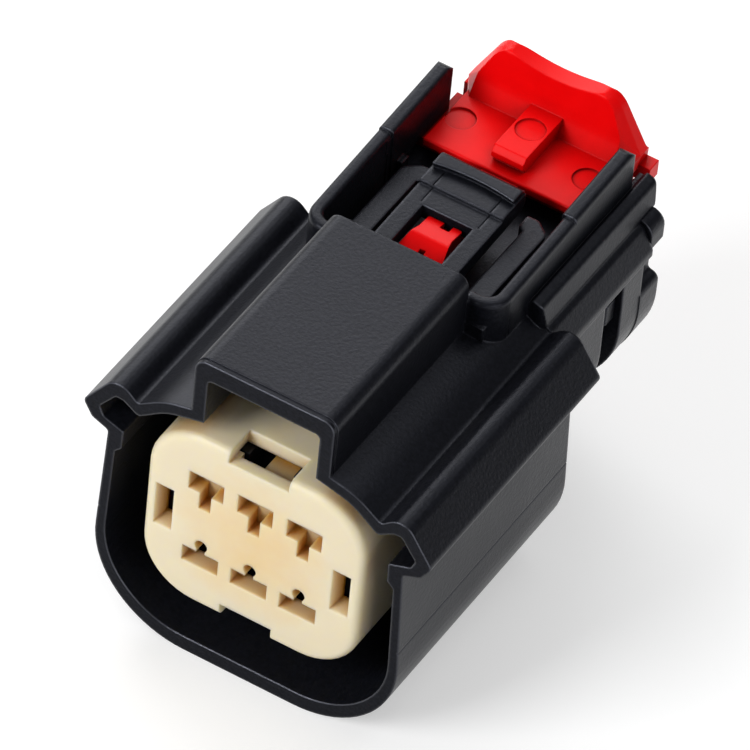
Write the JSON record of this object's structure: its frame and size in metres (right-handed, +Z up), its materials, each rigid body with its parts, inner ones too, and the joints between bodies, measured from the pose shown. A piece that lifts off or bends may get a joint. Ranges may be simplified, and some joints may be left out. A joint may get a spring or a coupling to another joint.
{
  "type": "sealed automotive connector",
  "caption": "Sealed automotive wire connector, socket half: black housing with hollow side rails and arched latch cover, ivory front lock, rocking latch arm and red position lock slide.",
  "frame": {"origin": "middle of the part's outer box, at the height of its underside, the surface it rests on", "axes": "+Z up; -Y out of the mating face, +Y towards the wire side; X across, with the part symmetric about X = 0"},
  "size_m": [0.0246, 0.0362, 0.025],
  "materials": {
    "black_polyester": "fine spark texture, satin",
    "ivory_polyester": "smooth satin",
    "red_polyester": "smooth semi-gloss",
    "silicone": "matte, lightly oiled"
  },
  "bodies": {
    "shell": {"housing": "black_polyester", "ring_seal": "silicone", "wire_seal": "silicone", "rear_cap": "black_polyester"},
    "latch": {"latch_arm": "black_polyester"},
    "front_lock": {"front_lock": "ivory_polyester"},
    "position_lock": {"position_lock": "red_polyester"}
  },
  "joints": [
    {"name": "latch_press", "type": "hinge", "parent": "shell", "child": "latch", "pos_m": [0, -0.00085, 0.0208], "axis": [-1, 0, 0], "range_deg": [0, 5.5], "stiffness_Nm_per_rad": 0.6},
    {"name": "front_lock_slide", "type": "slide", "parent": "shell", "child": "front_lock", "axis": [0, -1, 0], "range_m": [0, 0.0012]},
    {"name": "position_lock_slide", "type": "slide", "parent": "shell", "child": "position_lock", "axis": [0, -1, 0], "range_m": [0, 0.0015]}
  ]
}
